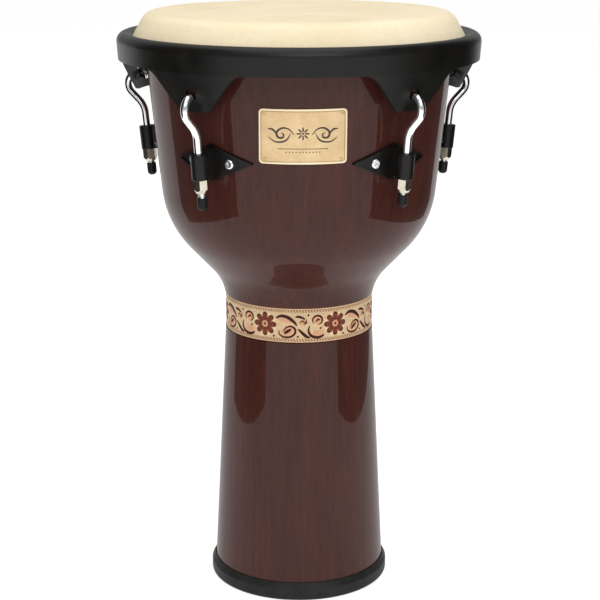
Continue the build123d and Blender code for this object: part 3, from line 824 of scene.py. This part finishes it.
dress(badgePlate(), "badge_brass", "shell", "badge_plate")
print("badge pressed")

# the hide's angles are in degrees: how far round the bearing edge, and round the flesh hoop, it goes
skin = dict(
    thickness=1.6 * mm, collarAngle=60.0, collar=25 * mm, wire=8.9 * mm, gap=0.3 * mm, tuck=290.0,
    pucker=0.25 * mm, puckers=46, around=360, firstRing=4 * mm,
    headSteps=60, edgeSteps=14, collarSteps=12, tuckSteps=40,
)
crest = shell["rim"] - shell["bearing"] * (tan(taper) + 1 / cos(taper))
outR, outZ = sin(radians(skin["collarAngle"])), cos(radians(skin["collarAngle"]))
edgeCentre = np.array([crest, rimHeight - shell["bearing"]])
collarTop = edgeCentre + shell["bearing"] * np.array([outR, outZ])
collarFoot = collarTop + skin["collar"] * np.array([outZ, -outR])
wrap = skin["wire"] / 2 + skin["gap"]
fleshCentre = collarFoot - wrap * np.array([outR, outZ])


def arcPoints(centre, radius, degrees):
    # points at a radius from a centre, at angles counted from straight outwards
    a = np.radians(degrees)
    return centre + radius * np.stack([np.cos(a), np.sin(a)], axis=1)


def skinMiddle():
    # across the head, round the bearing edge, down the collar, and round the flesh hoop
    half, turned = skin["thickness"] / 2, 90 - skin["collarAngle"]
    r = np.linspace(skin["firstRing"], crest, skin["headSteps"])
    head = np.stack([r, 0 * r + rimHeight + half], axis=1)
    edge = arcPoints(edgeCentre, shell["bearing"] + half, np.linspace(90, turned, skin["edgeSteps"])[1:])
    fall = np.linspace(0, 1, skin["collarSteps"])[1:, None]
    down = collarTop + fall * (collarFoot - collarTop) + half * np.array([outR, outZ])
    tuck = arcPoints(fleshCentre, wrap + half, turned - np.linspace(0, skin["tuck"], skin["tuckSteps"])[1:])
    return np.concatenate([head, edge, down, tuck])


def drumSkin():
    # The middle line is thickened both ways along its normal. Below the bearing edge the hide
    # puckers a little round the drum: a sum of two sines, which grows down the collar.
    middle = skinMiddle()
    along = np.gradient(middle, axis=0)
    normal = unit(np.stack([-along[:, 1], along[:, 0]], axis=1))
    t = np.arange(skin["around"]) * 2 * pi / skin["around"]
    fall = np.clip((collarTop[1] - middle[:, 1]) / (collarTop[1] - fleshCentre[1]), 0, 1)[:, None] ** 1.5
    wave = 0.6 * np.sin(skin["puckers"] * t) + 0.4 * np.sin(skin["puckers"] * 1.5 * t + 1.3)
    push = fall * wave * skin["pucker"] / 2
    sides = []
    for side in (1, -1):
        line = middle + side * skin["thickness"] / 2 * normal
        sides.append(roundDrum(line[:, :1] + normal[:, :1] * push, t, line[:, 1:] + normal[:, 1:] * push))
    rings = np.concatenate([sides[0], sides[1][::-1]])
    poles = ((0, 0, rimHeight + skin["thickness"]), (0, 0, rimHeight))
    return makeMesh("drumSkin", rings, poles=poles)


# the hide lies over the bearing edge and goes down round the flesh hoop below it
head = drumSkin()
dress(head, "rawhide", None, "drumhead")
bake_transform(head)

# the hooks: straight threaded rods that lean with the bowl's wall, bent over at the top
rod = dict(
    radius=4 * mm, standoff=20.7 * mm, lugUp=177.5 * mm, eye=12.5 * mm, legAngle=46.0, bend=22 * mm,
    tailAngle=22.0, tail=6 * mm, tubeLength=25.2 * mm, seat=0.1 * mm, nut=13 * mm, holePlay=0.9 * mm,
    cap=13 * mm, capEnd=3 * mm, capGaps=[2.2 * mm] * 4 + [5.0 * mm], firstAngle=36, around=28,
    pitch=1.25 * mm, threadDepth=0.42 * mm, threadLength=34 * mm, threadStep=0.16 * mm, threadFade=2 * mm,
    dome=1.6 * mm, domeSteps=(0.0, 1 / 16, 1 / 4, 1 / 2, 13 / 16, 1.0), eyeSteps=40, tailSteps=5,
)
# the tension hoop keeps its own shape; these give the place of the holes in its ears
hoopSet = dict(
    drop=20.2 * mm, depth=27 * mm, reach=16.1 * mm, lipFall=1.6 * mm, thickness=4 * mm, wallLean=1.2 * mm,
    earDrop=37 * mm, earLean=15.0, holeUp=16.5 * mm, holeRadius=6.2 * mm,
)
hoopTop = rimHeight + skin["thickness"] - hoopSet["drop"]
lipRound = hoopSet["thickness"] / 2
lipUp = hoopTop - hoopSet["lipFall"] - lipRound
lipOff = skin["thickness"] + skin["gap"] + lipRound
lipRadius = collarTop[0] + (lipOff + (collarTop[1] - lipUp) * outZ) / outR
hoopRadius = lipRadius - lipRound + hoopSet["reach"]
hoopLow = hoopTop - hoopSet["depth"]
holeUp = hoopLow - hoopSet["earDrop"] + hoopSet["holeUp"]
lugHeight = shell["joint"] + rod["lugUp"]
upTube = np.array([sin(taper), cos(taper)])
offWall = np.array([cos(taper), -sin(taper)])
tubeMiddle = np.array([wallRadius(lugHeight), lugHeight]) + rod["standoff"] * offWall


def hookPath(capGap):
    # in the upright plane through the hook: up through the tube, a bend outwards, then an arc
    # over and into the ear's hole
    end = -rod["tubeLength"] / 2 - rod["seat"] - rod["nut"] - capGap - rod["cap"] + rod["capEnd"]
    rodUp = holeUp - (hoopSet["holeRadius"] - rod["radius"] - rod["holePlay"])
    earAt = hoopRadius - hoopSet["wallLean"] - (hoopLow - rodUp) * tan(radians(hoopSet["earLean"]))
    eye = np.array([earAt - hoopSet["thickness"] / 2, rodUp - rod["eye"]])
    leg = radians(rod["legAngle"])
    eyeStart = eye + rod["eye"] * np.array([cos(leg), -sin(leg)])
    # where the tube's line meets the leg's line
    legWay = np.array([sin(leg), cos(leg)])
    gapTo = eyeStart - tubeMiddle
    reach = (gapTo[0] * legWay[1] - gapTo[1] * legWay[0]) / (upTube[0] * legWay[1] - upTube[1] * legWay[0])
    corner = tubeMiddle + upTube * reach
    bottom = tubeMiddle + upTube * end
    lower = roundedPath([bottom, corner, eyeStart], [0, rod["bend"], 0], turnStep=4)
    last = 90 + rod["tailAngle"]
    arc = arcPoints(eye, rod["eye"], np.linspace(-rod["legAngle"], last, rod["eyeSteps"])[1:])
    way = np.array([-sin(radians(last)), cos(radians(last))])
    tail = arc[-1] + way * np.linspace(0, rod["tail"], rod["tailSteps"])[1:, None]
    return np.concatenate([lower, arc, tail])


def pullRod(number, angle, capGap):
    # A circle carried along the path. On the threaded length the radius follows a triangle wave
    # of the distance along less the turn round, which is a screw thread; both ends are domed.
    path = hookPath(capGap)
    steps = np.linalg.norm(np.diff(path, axis=0), axis=1)
    along = np.concatenate([[0], np.cumsum(steps)])
    total = along[-1]
    dome = rod["dome"] * np.array(rod["domeSteps"])
    threaded = np.arange(rod["dome"], rod["threadLength"], rod["threadStep"])
    smooth = along[(along > rod["threadLength"] + mm) & (along < total - 2 * mm)]
    runOut = np.linspace(rod["threadLength"] + 0.1 * mm, smooth[0], 4)[:-1]
    s = np.concatenate([dome[:-1], threaded, runOut, smooth, total - dome[::-1]])
    line = np.stack([np.interp(s, along, path[:, k]) for k in (0, 1)], axis=1)
    way = unit(np.gradient(line, s, axis=0))
    across = np.stack([way[:, 1], -way[:, 0]], axis=1)
    t = np.arange(rod["around"]) * 2 * pi / rod["around"]
    phase = (s[:, None] / rod["pitch"] - t / (2 * pi)) % 1
    tooth = 1 - np.abs(2 * phase - 1)
    # the thread starts a little up the rod and fades out at its end
    depth = np.clip((rod["threadLength"] - s) / rod["threadFade"], 0, 1) * np.clip(s / mm - 0.4, 0, 1)
    radius = rod["radius"] - rod["threadDepth"] * tooth * depth[:, None]
    inDome = np.clip(np.minimum(s, total - s) / rod["dome"], 0, 1)
    radius = radius - (1 - np.sqrt(1 - (1 - inDome) ** 2))[:, None] * rod["dome"]
    r = line[:, :1] + across[:, :1] * radius * np.cos(t)
    z = line[:, 1:] + across[:, 1:] * radius * np.cos(t)
    side = radius * np.sin(t)
    a = radians(angle)
    rings = np.stack([r * sin(a) + side * cos(a), -r * cos(a) + side * sin(a), z], axis=-1)
    return makeMesh(f"pullRod_{number}", rings, poles=(rings[0].mean(0), rings[-1].mean(0)))


for number, capGap in enumerate(rod["capGaps"], 1):
    angle = rod["firstAngle"] + (number - 1) * 360 / len(rod["capGaps"])
    dress(pullRod(number, angle, capGap), "chrome", f"hook_{number}_body", f"hook_{number}")
print("hooks bent")

# a white floor under a pale sky, two soft lights, and at each side of the drum a black flag that
# only darkens reflections: its x, and the y of its near and far edge
studio = dict(
    floorHalf=40.0, floorWhite=0.85, floorGlow=0.56, sky=0.5, backdrop=0.92, flagBlack=0.012,
    flagHeight=2.2, flags=dict(Left=(-0.76, -0.62, 0.30), Right=(0.76, -0.50, 0.80)),
    overhead=dict(spot=(0, -0.2, 2.6), size=(2.6, 2.6), power=31.0),
    front=dict(spot=(0.3, -2.5, 2.1), size=(1.8, 1.2), power=24.0),
    aim=(0, 0, 0.35),
)


def studioSheet(name, corners, material):
    # one flat face through four corners
    mesh = bpy.data.meshes.new(name)
    mesh.from_pydata(corners, [], [(0, 1, 2, 3)])
    mesh.materials.append(material)
    sheet = bpy.data.objects.new(name, mesh)
    bpy.context.scene.collection.objects.link(sheet)
    return sheet


def areaLight(name, spot, size, power):
    # a rectangle of light turned to face the drum
    light = bpy.data.lights.new(name, "AREA")
    light.shape = "RECTANGLE"
    light.size, light.size_y = size
    light.energy = power
    lamp = bpy.data.objects.new(name, light)
    lamp.location = spot
    way = np.array(studio["aim"]) - np.array(spot)
    lamp.rotation_euler = (atan2(np.hypot(way[0], way[1]), -way[2]), 0, atan2(-way[0], way[1]))
    bpy.context.scene.collection.objects.link(lamp)


floorPaper = newMaterial("floorPaper", {
    "Base Color": (studio["floorWhite"],) * 3 + (1,), "Roughness": 0.9, "Specular IOR Level": 0.0,
    "Emission Color": (1, 1, 1, 1), "Emission Strength": studio["floorGlow"],
})[0]
half = studio["floorHalf"]
floorCorners = [(-half, -half, 0), (half, -half, 0), (half, half, 0), (-half, half, 0)]
floor = studioSheet("floor", floorCorners, floorPaper)

flagCloth = newMaterial("flagCloth", {
    "Base Color": (studio["flagBlack"],) * 3 + (1,), "Roughness": 1.0, "Specular IOR Level": 0.0,
})[0]
top = studio["flagHeight"]
for side, (x, near, far) in studio["flags"].items():
    flag = studioSheet(f"flag{side}", [(x, near, 0), (x, far, 0), (x, far, top), (x, near, top)], flagCloth)
    flag.visible_camera = flag.visible_diffuse = flag.visible_shadow = False
    flag.visible_transmission = flag.visible_volume_scatter = False

for name in ("overhead", "front"):
    areaLight(name, **studio[name])

# the camera sees a paler sky than the one that lights the drum
world = bpy.data.worlds.new("studio")
bpy.context.scene.world = world
world.use_nodes = True
seen = node(world.node_tree, "ShaderNodeLightPath", {}).outputs["Is Camera Ray"]
skyTone = mix(world.node_tree, seen, (studio["sky"],) * 3, (studio["backdrop"],) * 3)
world.node_tree.links.new(skyTone, world.node_tree.nodes["Background"].inputs["Color"])
print("studio lit")
